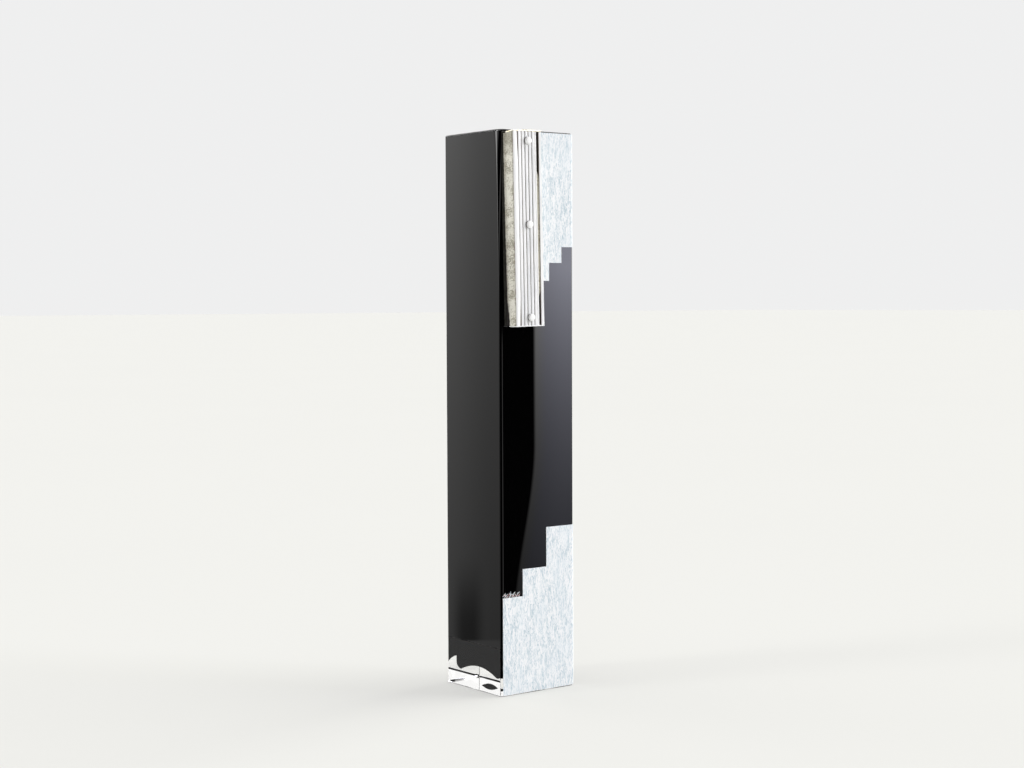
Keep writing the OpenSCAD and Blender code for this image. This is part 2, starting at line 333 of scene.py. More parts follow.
# %% Pale floor
FLOOR_GLOW = 0.46
FLOOR_TONES = ((0.325, 0.325, 0.30, 1), (0.335, 0.335, 0.31, 1))
material, tree, shader, place = start_material(
    "pale_floor", Roughness=0.9, Specular_IOR_Level=0.0,
    Emission_Color=(1.0, 1.0, 1.0, 1), Emission_Strength=FLOOR_GLOW)
mottle = grain(tree, place, (0.002, 0.002, 0.002))
link(tree, blend_colour(tree, mottle, *FLOOR_TONES), shader.inputs["Base Color"])
floor.data.materials.append(material)
print("floor glows at", FLOOR_GLOW)

# %% [markdown]
# ### Glass
#
# The clear casing is soda glass, ground flat and polished. Polishing leaves the faces very
# slightly wavy, which bends a mirrored edge, so a long shallow bump goes on the normal. The
# black glass inside has no surface of its own against the casing, because the two were
# fused: its outside only swallows light, with no gloss, and its inside, which is in the
# air, is glossy. Between the foot and the rim the casing shows nothing but black and its
# own mirror, so there its outside faces are polished black, which renders clean.

# %% Clear and black glass
GLASS_IOR = 1.5
BLACK_TONES = ((0.0002, 0.0002, 0.0003, 1), (0.0007, 0.0006, 0.0007, 1))


def polished_wave(tree, shader, place):
    """The long shallow waves that hand polishing leaves in a flat face."""
    relief(tree, shader, grain(tree, place, (0.012, 0.012, 0.006), detail=0.0), 0.3, distance=0.1)


def clear_glass():
    """Colourless glass that light passes through."""
    material, tree, shader, place = start_material(
        "clear_glass", Base_Color=(1, 1, 1, 1), Transmission_Weight=1.0, IOR=GLASS_IOR, Roughness=0.0)
    polished_wave(tree, shader, place)
    return material


def black_glass(name, specular, roughness, wavy=False):
    """Opaque black glass with a given gloss."""
    material, tree, shader, place = start_material(
        name, Specular_IOR_Level=specular, IOR=GLASS_IOR, Roughness=roughness)
    depth = grain(tree, place, (0.05, 0.05, 0.02), detail=3.0)
    link(tree, blend_colour(tree, depth, *BLACK_TONES), shader.inputs["Base Color"])
    if wavy:
        polished_wave(tree, shader, place)
    return material


GLASS = clear_glass()
BLACK_FUSED = black_glass("black_glass_fused", 0.0, 0.5)
BLACK_OPEN = black_glass("black_glass_open", 0.5, 0.04)
BLACK_CASED = black_glass("black_glass_cased", 0.5, 0.0, wavy=True)
print("glass:", ", ".join(glass.name for glass in (GLASS, BLACK_FUSED, BLACK_OPEN, BLACK_CASED)))

# %% [markdown]
# ### Silver leaf
#
# Leaf is laid by hand with a soft brush and rubbed down along the block, so it is bright
# but not a mirror: long pale strokes wander up and down, with bluish patches where the leaf
# is thinner. One stretched noise bends the coordinates of another, which gives strokes that
# wander, and the same strokes drive colour, roughness and a fine bump.

# %% Silver leaf
LEAF_THIN = (0.54, 0.645, 0.71, 1)
LEAF_FULL = (0.965, 0.98, 1.0, 1)
LEAF_PATCH = (0.81, 0.88, 0.93, 1)


def silver_leaf():
    """Brushed and lacquered leaf: a blend of thin and full leaf, with pale blue patches."""
    material, tree, shader, place = start_material("silver_leaf", Metallic=0.0, Specular_IOR_Level=0.3)
    strokes = grain(tree, place, (0.42, 0.42, 0.085), detail=2.5, roughness=0.55, distortion=1.8)
    fine = grain(tree, place, (1.2, 1.2, 0.26), detail=2.0, roughness=0.6, distortion=2.6, seed=2.0)
    patches = grain(tree, place, (0.10, 0.10, 0.05), detail=2.0, seed=7.0)
    tone = calc(tree, "ADD", calc(tree, "MULTIPLY", strokes, 0.35), calc(tree, "MULTIPLY", fine, 0.65))
    silver = blend_colour(tree, rise(tree, tone, 0.40, 0.55), LEAF_THIN, LEAF_FULL)
    silver = blend_colour(tree, rise(tree, patches, 0.45, 0.65, 0.0, 0.3), silver, LEAF_PATCH)
    link(tree, silver, shader.inputs["Base Color"])
    link(tree, rise(tree, tone, 0.3, 0.7, 0.8, 0.6), shader.inputs["Roughness"])
    relief(tree, shader, tone, 0.35, distance=0.12)
    return material


LEAF = silver_leaf()
print(LEAF.name, "with", len(LEAF.node_tree.nodes), "nodes")

# %% [markdown]
# ### Metals of the plaque
#
# The tray is sand cast: its side keeps the grain of the sand under a grey-beige patina, and
# its band was wiped bright. The ribs and studs are polished, with painted shade low down
# between them. The ends are gilt brass, and the strap is copper with painted shade in its
# dark colour. One function serves them all: a metal colour, a second colour for its patina,
# a grain, a roughness range and, where needed, a rule that lays painted shade in grooves,
# corners and under the top plate, and a black band near the glass on the cast flank.

# %% A metal with patina
PATINA_LEVELS = (0.72, 0.28)
PATINA_EDGE = 0.07


def patinated_metal(name, bright, patina, amount, roughness, size, depth, metallic=1.0, painted_darkening=None):
    """amount is the share of patina from 0 to 1; size is the grain in cycles per millimetre;
    the last argument is a function that lays painted shade over the colour, and a black band
    near the glass on the flank."""
    material, tree, shader, place = start_material(name, Metallic=metallic)
    spots = grain(tree, place, size, detail=5.0, roughness=0.65)
    cloud = grain(tree, place, [s * 0.12 for s in size], detail=2.0, seed=3.0)
    mask = calc(tree, "ADD", calc(tree, "MULTIPLY", spots, 0.6), calc(tree, "MULTIPLY", cloud, 0.4))
    edge = PATINA_LEVELS[0] - (PATINA_LEVELS[0] - PATINA_LEVELS[1]) * amount
    old = rise(tree, mask, edge - PATINA_EDGE, edge + PATINA_EDGE)
    colour = blend_colour(tree, old, (*bright, 1), (*patina, 1))
    # Painted shade in grooves and corners, and a black band near the glass on the flank.
    if painted_darkening:
        axes = tree.nodes.new("ShaderNodeSeparateXYZ")
        link(tree, place, axes.inputs[0])
        out = calc(tree, "SUBTRACT", block_low.y, axes.outputs["Y"])
        colour = painted_darkening(tree, out, axes.outputs["Z"], spots, colour)
    link(tree, colour, shader.inputs["Base Color"])
    link(tree, rise(tree, mask, 0.35, 0.65, *roughness), shader.inputs["Roughness"])
    relief(tree, shader, spots, depth, distance=0.2)
    return material


# %% Painted shade, and a black band on the flank; out is the distance from the glass
# Painted shade: brown and black in the grooves, olive under the top plate and beside the band, black round
# the studs. The same black is laid near the glass on the cast flank, widening towards the foot.
GROOVE_BROWN_SHADE = (0.24, 0.19, 0.165, 1)
NEAR_BLACK = (0.03, 0.024, 0.022, 1)
OLIVE_SHADE = (0.27, 0.25, 0.19, 1)
PLAQUE_HEIGHT = 105.0 * MM
BROWN_SHADE_DEPTHS = (5.15 * MM, 5.42 * MM)
BLACK_SHADE_DEPTHS = (4.5 * MM, 5.0 * MM)
BAND_SHADE_DEPTHS = (3.9 * MM, 5.3 * MM)
TOP_SHADE_HEIGHTS = (BLOCK_HEIGHT - 16 * MM, BLOCK_HEIGHT - 3 * MM)
FLANK_FOOT = BLOCK_HEIGHT - PLAQUE_HEIGHT
FOOT_BLACK_RISE = 15 * MM
BLACK_EDGE = (-0.1 * MM, 0.15 * MM)
STUD_SHADE_DEPTHS = (5.8 * MM, 6.1 * MM)


def ragged(tree, out, spots, amount):
    """The distance from the glass, made uneven by the metal's spots."""
    return calc(tree, "ADD", out, calc(tree, "MULTIPLY", calc(tree, "SUBTRACT", spots, 0.5), amount))


def groove_shade(tree, out, height, spots, colour):
    """Painted shade in the grooves: brown below the crests and black deep down."""
    level = ragged(tree, out, spots, 0.12 * MM)
    colour = blend_colour(tree, rise(tree, level, *BROWN_SHADE_DEPTHS, 1.0, 0.0), colour, GROOVE_BROWN_SHADE)
    return blend_colour(tree, rise(tree, level, *BLACK_SHADE_DEPTHS, 1.0, 0.0), colour, NEAR_BLACK)


def flank_shade_and_dark_foot(tree, out, height, spots, colour):
    """Painted olive shade under the top plate and along the band, and black near the glass that widens
    towards the foot.
    """
    shade_share = calc(tree, "ADD", rise(tree, height, *TOP_SHADE_HEIGHTS, 0.0, 0.6),
                 rise(tree, ragged(tree, out, spots, 2.0 * MM), *BAND_SHADE_DEPTHS, 0.0, 0.55))
    colour = blend_colour(tree, shade_share, colour, OLIVE_SHADE)
    climb = calc(tree, "ADD", rise(tree, height, FLANK_FOOT, BLOCK_HEIGHT - 4 * MM, 0.55 * MM, 0.0),
                 rise(tree, height, FLANK_FOOT, FLANK_FOOT + FOOT_BLACK_RISE, 0.65 * MM, 0.0))
    level = calc(tree, "SUBTRACT", ragged(tree, out, spots, 1.6 * MM), climb)
    return blend_colour(tree, rise(tree, level, *BLACK_EDGE, 1.0, 0.0), colour, NEAR_BLACK)


def stud_shade(tree, out, height, spots, colour):
    """Painted black shade in the angle between a stud's head and the ribs."""
    return blend_colour(tree, rise(tree, out, *STUD_SHADE_DEPTHS, 1.0, 0.0), colour, NEAR_BLACK)


# %% The plaque's metals and its adhesive
CAST = patinated_metal("cast_pewter", (0.92, 0.90, 0.81), (0.42, 0.39, 0.31), 0.44, (0.5, 0.8),
                       (1.5, 1.5, 1.5), 1.0, metallic=0.2, painted_darkening=flank_shade_and_dark_foot)
BED_RESIN = patinated_metal("aged_adhesive", (0.80, 0.78, 0.70), (0.42, 0.38, 0.30), 0.44, (0.5, 0.8),
                            (1.5, 1.5, 1.5), 0.6, metallic=0.0, painted_darkening=flank_shade_and_dark_foot)
POLISHED = patinated_metal("polished_silver", (0.94, 0.94, 0.94), (0.80, 0.81, 0.825), 0.45, (0.5, 0.6),
                           (0.6, 0.6, 0.05), 0.1, metallic=0.1, painted_darkening=groove_shade)
BRIGHT = patinated_metal("bright_silver", (0.99, 0.99, 0.99), (0.96, 0.96, 0.96), 0.2, (0.45, 0.55),
                         (2.0, 2.0, 2.0), 0.1, metallic=0.0)
STUD_SILVER = patinated_metal("stud_silver", (0.99, 0.99, 0.99), (0.97, 0.97, 0.97), 0.2, (0.45, 0.55),
                              (2.0, 2.0, 2.0), 0.1, metallic=0.0, painted_darkening=stud_shade)
GILT = patinated_metal("gilt_brass", (0.98, 0.88, 0.62), (0.95, 0.93, 0.86), 0.5, (0.3, 0.5),
                       (1.5, 1.5, 1.5), 0.3, metallic=0.6)
# The strap's copper is nearly black: painted shade, with the patina spots darker still.
SHADED_COPPER = patinated_metal("patinated_copper", (0.10, 0.045, 0.04), (0.05, 0.03, 0.032), 0.5, (0.55, 0.8),
                         (1.5, 1.5, 1.5), 0.3, metallic=0.4)
RESIN = patinated_metal("adhesive", (0.72, 0.69, 0.58), (0.42, 0.38, 0.30), 0.4, (0.4, 0.6),
                        (0.8, 0.8, 0.8), 0.5, metallic=0.0)
print("finishes so far:", len(bpy.data.materials))

# %% [markdown]
# ## The glass block
#
# The casing is one closed solid: outside, rim, cavity for the core, and base. It could be a
# Boolean of two boxes, but rings of points skinned one after another give a clean mesh with
# the same number of points all the way, and every bevel where it should be. A ring has
# four corners. A ground corner is a bevel that a short curve joins to the faces, and a blown
# corner is an arc.

# %% Rings of points
CORNER_POINTS = 13
SIDE_POINTS = 9
PANEL_INSET = 0.085
EDGE_BEVEL = 1.4 * MM
END_BEVEL = 0.6 * MM
ARRIS = 0.12 * MM
EDGE_EASE = 0.1 * MM
SIDE_SHARES = [PANEL_INSET + (1 - 2 * PANEL_INSET) * i / (SIDE_POINTS - 1) for i in range(SIDE_POINTS)]
print("points in a ring:", 4 * (CORNER_POINTS + SIDE_POINTS))


def bevel(half, first_cut, last_cut, first_ease=EDGE_EASE, last_ease=EDGE_EASE):
    """Points of the corner at +x +y: a ground bevel; an ease bends its start or end to the face."""
    first, last = Vector((half, half - first_cut, 0)), Vector((half - last_cut, half, 0))
    curve = interpolate_bezier(first, first + Vector((0, first_ease, 0)), last + Vector((last_ease, 0, 0)),
                               last, CORNER_POINTS)
    return [point.to_2d() for point in curve]


def arc(half, radius):
    """Points of the corner at +x +y: a quarter circle."""
    centre = Vector((half - radius, half - radius))
    angles = [math.pi / 2 * i / (CORNER_POINTS - 1) for i in range(CORNER_POINTS)]
    return [centre + radius * Vector((math.cos(a), math.sin(a))) for a in angles]


def ring(corner, height, near_corner=None):
    """A ring from one corner's points, with more points along each side. height is a number,
    or a function of x and y. The near corner, between the plain and the decorated face, may differ."""
    corners = []
    for turn in range(4):
        spin = Matrix.Rotation(math.pi / 2 * turn, 2)
        corners.append([spin @ p for p in (near_corner if near_corner and turn == 2 else corner)])
    points = []
    for here, following in zip(corners, corners[1:] + corners[:1]):
        points += here
        points += [here[-1].lerp(following[0], share) for share in SIDE_SHARES]
    return [Vector((p.x, p.y, height(p.x, p.y) if callable(height) else height)) for p in points]


def skin(name, rings, materials, slots=None):
    """A closed mesh through rings with equal numbers of points, its ends filled. slots gives
    each row of faces its place in the list of materials."""
    mesh = bmesh.new()
    loops = [[mesh.verts.new(p) for p in points] for points in rings]
    count = len(loops[0])
    for level, (lower, upper) in enumerate(zip(loops, loops[1:])):
        for i in range(count):
            j = (i + 1) % count
            face = mesh.faces.new((lower[i], lower[j], upper[j], upper[i]))
            face.material_index = slots[level] if slots else 0
    mesh.faces.new(list(reversed(loops[0])))
    mesh.faces.new(loops[-1])
    return finish_mesh(name, mesh, materials)


SMOOTH_BELOW = math.radians(40)


def finish_mesh(name, mesh, materials):
    """Turns a bmesh into a piece at the origin, smooth where faces meet at a low angle."""
    data = bpy.data.meshes.new(name)
    mesh.to_mesh(data)
    mesh.free()
    for material in materials:
        data.materials.append(material)
    data.shade_smooth()
    data.set_sharp_from_angle(angle=SMOOTH_BELOW)
    piece = bpy.data.objects.new(name, data)
    bpy.context.scene.collection.objects.link(piece)
    return piece


FLAT_NORMAL = 0.999999


def crisp_flats(piece):
    """Marks the edges round upright and level flats as sharp, so that they mirror like plate."""
    mesh = bmesh.new()
    mesh.from_mesh(piece.data)
    for edge in mesh.edges:
        flat = [max(abs(part) for part in face.normal) > FLAT_NORMAL for face in edge.link_faces]
        if len(flat) == 2 and flat[0] != flat[1]:
            edge.smooth = False
    mesh.to_mesh(piece.data)
    mesh.free()


def keep_flats_flat(piece):
    """Weighs normals by face area, so that a small bevel doesn't shade the flat beside it."""
    modifier = piece.modifiers.new("weighted normals", "WEIGHTED_NORMAL")
    modifier.keep_sharp = True


def stand_for(piece, slot_name, *nodes):
    """Says what a finished piece is: it rides on the root and replaces nodes. slot_name is not used."""
    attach(piece, "root")
    if nodes:
        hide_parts(*nodes)
    print(piece.name, "stands for", ", ".join(nodes) or "trim", "with", len(piece.data.polygons), "faces")


# %% The blown foot, which casing and core share
CORE_CORNER = 5.0 * MM
FOOT_ROUND = 4.0 * MM
FOOT_ARCH = 4.0 * MM
FOOT_STEPS = 9
FOOT_SHARES = (0.04, 0.3, 0.6, 0.85)
SMALLEST_RADIUS = 0.2 * MM
WALL_START = 6 * MM
print("foot rises", round(FOOT_ARCH / MM, 1), "mm in the middle of each side")


def foot_height(half):
    """The core's underside: lowest at its four corners, and risen between them."""
    flat = half - FOOT_ROUND

    def height(x, y):
        across = min(abs(x) / flat, 1.0) ** 2
        deep = min(abs(y) / flat, 1.0) ** 2
        return core_low.z + FOOT_ARCH * (1 - across * deep)
    return height


def vessel_rings(half, radius, foot, top, rounding):
    """Rings of a blown vessel's wall from the middle of its foot up to its rim."""
    rings = []
    for share in FOOT_SHARES:
        inner = (half - rounding) * share
        rings.append(ring(arc(inner, min(radius, inner) * share), foot))
    for i in range(FOOT_STEPS + 1):
        angle = math.pi / 2 * i / FOOT_STEPS
        step_half = half - rounding * (1 - math.sin(angle))
        lift = rounding * (1 - math.cos(angle))
        corner = arc(step_half, max(radius - (half - step_half), SMALLEST_RADIUS))
        rings.append(ring(corner, lambda x, y, lift=lift: foot(x, y) + lift))
    rings.append(ring(arc(half, radius), foot(0, 0) + rounding + WALL_START))
    rings.append(ring(arc(half, radius), top))
    return rings


# %% The near corner
BLOCK_HALF = BLOCK_SIDE / 2
NEAR_CUT_PLAIN = 0.75 * MM
NEAR_CUT_FRONT = 1.9 * MM
NEAR_EASE = 0.4 * MM
FLARE_FROM = BLOCK_HEIGHT - 90 * MM
FLARE_STEPS = 13
FLARE_LONG, LONG_POWER = 2.6 * MM, 1.3
FLARE_SHORT, SHORT_POWER = 1.8 * MM, 8
FLARE_EASE, EASE_POWER = 1.3 * MM, 1.2


def near_bevel(inset, height):
    """The near corner was ground further near the rim, mostly on its plain side."""
    share = max(0.0, (height - FLARE_FROM) / (BLOCK_HEIGHT - FLARE_FROM))
    plain = NEAR_CUT_PLAIN + FLARE_LONG * share ** LONG_POWER + FLARE_SHORT * share ** SHORT_POWER
    ease = NEAR_EASE + FLARE_EASE * share ** EASE_POWER
    return bevel(BLOCK_HALF - inset, plain, NEAR_CUT_FRONT, ease, NEAR_EASE)


print("near bevel at the rim, mm:", round((NEAR_CUT_PLAIN + FLARE_LONG + FLARE_SHORT) / MM, 2))

# %% Clear casing
PONTIL_RADIUS = 7.0 * MM
PONTIL_DEPTH = 1.8 * MM
PONTIL_SHARES = (0.05, 0.2, 0.35, 0.5, 0.65, 0.8, 0.9, 1.0)
PANEL_LOW = 26.0 * MM
PANEL_HIGH = BLOCK_HEIGHT - 1.0 * MM


def outside_ring(inset, height):
    """A ring of the block's outside, moved in by inset where an end bevel starts."""
    return ring(bevel(BLOCK_HALF - inset, EDGE_BEVEL, EDGE_BEVEL), height, near_bevel(inset, height))


def outside_rings():
    """From the ground hollow in the base, out to the foot, and up to the rim."""
    rings = []
    for share in PONTIL_SHARES:
        radius = PONTIL_RADIUS * share
        rings.append(ring(arc(radius, radius), PONTIL_DEPTH * (1 - share ** 2)))
    rim = [(END_BEVEL + ARRIS, 0.0), (END_BEVEL - ARRIS * 0.7, ARRIS * 0.7),
           (ARRIS * 0.7, END_BEVEL - ARRIS * 0.7), (0.0, END_BEVEL + ARRIS)]
    rings += [outside_ring(inset, height) for inset, height in rim]
    rings.append(outside_ring(0.0, PANEL_LOW))
    for step in range(FLARE_STEPS):
        rings.append(outside_ring(0.0, FLARE_FROM + (PANEL_HIGH - FLARE_FROM) * step / (FLARE_STEPS - 1)))
    rings += [outside_ring(inset, BLOCK_HEIGHT - height) for inset, height in reversed(rim)]
    return rings


cavity = vessel_rings(CORE_SIDE / 2, CORE_CORNER, foot_height(CORE_SIDE / 2), BLOCK_HEIGHT, FOOT_ROUND)
casing = skin("clear_block", outside_rings() + list(reversed(cavity)), [GLASS, BLACK_CASED])
panels = 0
for face in casing.data.polygons:
    outside = max(abs(face.center.x), abs(face.center.y)) > BLOCK_HALF - CASING_WALL / 2
    if outside and PANEL_LOW < face.center.z < PANEL_HIGH:
        face.material_index = 1
        panels += 1
crisp_flats(casing)
stand_for(casing, "clear_glass", "clear_casing")
print("faces with black close behind them:", panels)

# %% [markdown]
# ## The black vessel
#
# The core is the same blown form, a hair larger than the cavity in the casing. So a ray that
# travels in clear glass meets black glass with no air between, as in the fused object, and
# no false mirror appears inside the block.

# %% Black core
FUSED_OVERLAP = 0.3 * MM
CORE_WALL = 4.0 * MM
HOLLOW_SIDE = CORE_SIDE - 2 * CORE_WALL
HOLLOW_CORNER = 3.0 * MM
HOLLOW_FLOOR = 17.0 * MM
HOLLOW_ROUND = 5.0 * MM
RIM_LIFT = 0.05 * MM
fused_half = CORE_SIDE / 2 + FUSED_OVERLAP
core_foot = foot_height(CORE_SIDE / 2)
outer = vessel_rings(fused_half, CORE_CORNER + FUSED_OVERLAP, lambda x, y: core_foot(x, y) - FUSED_OVERLAP,
                     BLOCK_HEIGHT + RIM_LIFT, FOOT_ROUND)
inner = vessel_rings(HOLLOW_SIDE / 2, HOLLOW_CORNER, lambda x, y: HOLLOW_FLOOR, BLOCK_HEIGHT + RIM_LIFT,
                     HOLLOW_ROUND)
rows = [0] * (len(outer) - 1) + [1] * len(inner)
core = skin("black_vessel", outer + list(reversed(inner)), [BLACK_FUSED, BLACK_OPEN], rows)
hollow_floor = core.data.polygons[len(core.data.polygons) - 1]
hollow_floor.material_index = 1
stand_for(core, "black_glass", "black_core")

# %% [markdown]
# ## Flat pieces with eased edges
#
# The leaf, the plates, the flat wire, the strap and the adhesive bed have the right shape
# already, but sharp corners catch no light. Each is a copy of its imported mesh: the loose
# triangles are merged, flat ones joined, and a narrow bevel eases the edges of all but the
# adhesive.

# %% Copies with eased edges
SAME_POINT = 0.002 * MM
SAME_PLANE = math.radians(1)
EASED_ABOVE = math.radians(30)


def eased_copy(node, name, material, width):
    """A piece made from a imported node's mesh, with its edges bevelled by width."""
    mesh = bmesh.new()
    mesh.from_mesh(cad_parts[node].data)
    bmesh.ops.remove_doubles(mesh, verts=mesh.verts, dist=SAME_POINT)
    bmesh.ops.dissolve_limit(mesh, angle_limit=SAME_PLANE, verts=mesh.verts, edges=mesh.edges)
    piece = finish_mesh(name, mesh, [material])
    if width:
        easing = piece.modifiers.new("eased edges", "BEVEL")
        easing.width = width
        easing.segments = 2
        easing.limit_method = "ANGLE"
        easing.angle_limit = EASED_ABOVE
    keep_flats_flat(piece)
    return piece


# %% Leaf
for node, name in (("upper_leaf", "upper_leaf_field"), ("lower_leaf", "lower_leaf_field")):
    stand_for(eased_copy(node, name, LEAF, 0.06 * MM), "silver_leaf", node)

# %% Plates, flat wire, strap and adhesive bed
for node, name, finish, slot, width in (
        ("top_plate", "gilt_top_plate", GILT, "gilt_brass", 0.12 * MM),
        ("bottom_plate", "lower_end_plate", BRIGHT, "polished_silver", 0.08 * MM),
        ("flat_wire", "flat_wire_strip", BRIGHT, "polished_silver", 0.12 * MM),
        ("rim_strap", "copper_strap", SHADED_COPPER, "patinated_copper", 0.12 * MM),
        ("plaque_bed", "adhesive_layer", BED_RESIN, "adhesive", 0.0)):
    stand_for(eased_copy(node, name, finish, width), slot, node)

# %% [markdown]
# ## The cast tray
#
# The tray is one section swept along the plaque, with a slot that widens and a band that is
# worn towards its ends. Many steps leave points all along the rough side, and a fractal
# noise pushes them in by up to a few tenths of a millimetre, as a sand mould would. The
# plaque leans, so it is made upright in its own axes and one matrix puts it on the glass.

# %% The plaque's own axes
PLAQUE_LEAN = 1.16
PLATE_T = 0.5 * MM
plate_low = Vector(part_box("bottom_plate")[0])
lean = math.radians(PLAQUE_LEAN)
PLAQUE_FOOT = Vector((plate_low.x + PLATE_T * math.sin(lean), block_low.y, plate_low.z))
ON_PLAQUE = Matrix.Translation(PLAQUE_FOOT) @ Matrix.Rotation(-lean, 4, "Y")
BED = 0.8 * MM
PLAQUE_OUT = 5.5 * MM
TOP_PLATE_T = 0.8 * MM
TOP_SLOPE = math.tan(math.radians(10))
FLANK_DRAFT = 1.45 * MM
BAND_WIDTH = 3.3 * MM
BAND_RIGHT = FLANK_DRAFT + BAND_WIDTH
RIB_RADIUS = 1.1 * MM
RIB_PITCH = 2.3 * MM
RIB_COUNT = 5
RIB_FLOOR = PLAQUE_OUT - RIB_RADIUS
FLAT_WIRE_WIDTH = 0.85 * MM
SLOT_LEFT = BAND_RIGHT + RIB_COUNT * RIB_PITCH + FLAT_WIRE_WIDTH
SLOT_W = 1.4 * MM
SLOT_FLARE = 0.4 * MM
SLOT_FLOOR = BED + 0.4 * MM
RIGHT_WALL = 1.9 * MM
PLAQUE_W = SLOT_LEFT + SLOT_W + RIGHT_WALL
print("plaque foot at", [round(v / MM, 2) for v in PLAQUE_FOOT], "width", round(PLAQUE_W / MM, 2))


# %% The tray's section
FLANK_POINTS = 14
WORN_TOP, WORN_FOOT, WORN_DEPTH = 0.2, 0.16, 0.5 * MM
BAND_DROP = 0.4 * MM
BAND_CHAMFER = 0.12 * MM
BAND_ROLL = 0.5 * MM
TRAY_EASE = 0.1 * MM


def smooth_share(value):
    """A smooth step from 0 to 1 as the value goes from 0 to 1."""
    share = min(max(value, 0.0), 1.0)
    return share * share * (3 - 2 * share)


def tray_section(share):
    """The tray's outline as (across, out) points; share runs from 0 at its foot to 1 on top."""
    slot_right = SLOT_LEFT + SLOT_W + SLOT_FLARE * share
    near_top = smooth_share((share - (1 - WORN_TOP)) / WORN_TOP)
    near_foot = smooth_share((WORN_FOOT - share) / WORN_FOOT)
    worn = max(near_top, near_foot) * WORN_DEPTH
    flank_top = PLAQUE_OUT - BAND_DROP
    flank = [(FLANK_DRAFT * i / FLANK_POINTS, BED + (flank_top - BED) * i / FLANK_POINTS)
             for i in range(FLANK_POINTS + 1)]
    band = [(FLANK_DRAFT + BAND_CHAMFER, PLAQUE_OUT - BAND_CHAMFER),
            (FLANK_DRAFT + BAND_ROLL, PLAQUE_OUT),
            (BAND_RIGHT - BAND_ROLL - worn, PLAQUE_OUT),
            (BAND_RIGHT - BAND_CHAMFER, PLAQUE_OUT - BAND_CHAMFER - worn * 0.7),
            (BAND_RIGHT, PLAQUE_OUT - BAND_DROP - worn),
            (BAND_RIGHT, RIB_FLOOR)]
    slot = [(SLOT_LEFT - TRAY_EASE, RIB_FLOOR),
            (SLOT_LEFT, RIB_FLOOR - TRAY_EASE),
            (SLOT_LEFT, SLOT_FLOOR),
            (slot_right, SLOT_FLOOR)]
    wall = [(slot_right, PLAQUE_OUT - TRAY_EASE),
            (slot_right + TRAY_EASE, PLAQUE_OUT),
            (PLAQUE_W - TRAY_EASE, PLAQUE_OUT),
            (PLAQUE_W, PLAQUE_OUT - TRAY_EASE),
            (PLAQUE_W, BED)]
    return flank + band + slot + wall


print("points in the section:", len(tray_section(0.0)))

# %% The swept tray
TRAY_STEPS = 150
SAND_GRAIN = 1.1 * MM
SAND_DEPTH = 0.22 * MM
SAND_START = 0.35


def tray_rings():
    """Sections of the tray along the plaque, with its left side roughened."""
    rings = []
    for step in range(TRAY_STEPS + 1):
        share = step / TRAY_STEPS
        points = []
        for index, (across, out) in enumerate(tray_section(share)):
            top = PLAQUE_HEIGHT - TOP_PLATE_T - (PLAQUE_OUT - out) * TOP_SLOPE
            point = Vector((across, -out, PLATE_T + (top - PLATE_T) * share))
            if 0 < index <= FLANK_POINTS:
                rough = noise.fractal(point / SAND_GRAIN, 0.8, 2.2, 4)
                point.x += SAND_DEPTH * max(0.0, SAND_START + rough)
            points.append(ON_PLAQUE @ point)
        rings.append(list(reversed(points)))
    return rings


tray = skin("cast_tray", tray_rings(), [CAST, POLISHED])
for face in tray.data.polygons:
    spot = ON_PLAQUE.inverted() @ face.center
    on_flank = spot.x < FLANK_DRAFT + 0.05 * MM and -spot.y < PLAQUE_OUT
    on_right = spot.x > PLAQUE_W - 0.01 * MM
    face.material_index = 0 if on_flank or on_right else 1
stand_for(tray, "cast_pewter", "plaque_tray")

# %% [markdown]
# ### Resin in the slot
#
# The deep slot beside the thin right wall holds a line of resin that rises to just under
# the ribs' crests in the middle and sinks out of sight near both ends. Its section is swept
# like the tray's, with a height that follows a smooth step at each end and a little noise.

# %% Resin in the slot
RESIN_LOW = 11.0 * MM
RESIN_HIGH = PLAQUE_HEIGHT - 17.0 * MM
RESIN_TAPER = 9.0 * MM
RESIN_OUT = PLAQUE_OUT - 0.75 * MM
RESIN_STEPS = 70
RESIN_LEAST = 0.1 * MM
RESIN_DIP = 0.15 * MM
RESIN_WAVE, WAVE_LENGTH = 0.25 * MM, 4 * MM


def resin_section(along):
    """The resin's outline as (across, out) points at a height along the plaque."""
    filled = smooth_share((along - RESIN_LOW) / RESIN_TAPER)
    filled = filled * smooth_share((RESIN_HIGH - along) / RESIN_TAPER)
    crest = SLOT_FLOOR + RESIN_LEAST + (RESIN_OUT - SLOT_FLOOR) * filled
    crest += RESIN_WAVE * noise.noise(Vector((0, 0, along / WAVE_LENGTH))) * filled
    right = SLOT_LEFT + SLOT_W + SLOT_FLARE * along / PLAQUE_HEIGHT
    return [(SLOT_LEFT, SLOT_FLOOR), (SLOT_LEFT, crest), ((SLOT_LEFT + right) / 2, crest - RESIN_DIP),
            (right, crest), (right, SLOT_FLOOR)]


rings = []
for step in range(RESIN_STEPS + 1):
    along = RESIN_LOW + (RESIN_HIGH - RESIN_LOW) * step / RESIN_STEPS
    rings.append([ON_PLAQUE @ Vector((across, -out, along)) for across, out in resin_section(along)])
slot_resin = skin("slot_resin", rings, [RESIN])
stand_for(slot_resin, "adhesive")

# %% [markdown]
# ## Ribs and studs
#
# Five half-round wires, rubbed flat on top, lie side by side in the tray, and three studs
# with domed heads hold them. Both repeat one shape, so each is a Geometry Nodes tree with
# named inputs: the ribs sweep a rounded section along a line and instance it at a pitch, and
# the studs turn up on the points of a small guide mesh. The instances are realized, the
# result becomes a plain mesh, and the modifier goes.

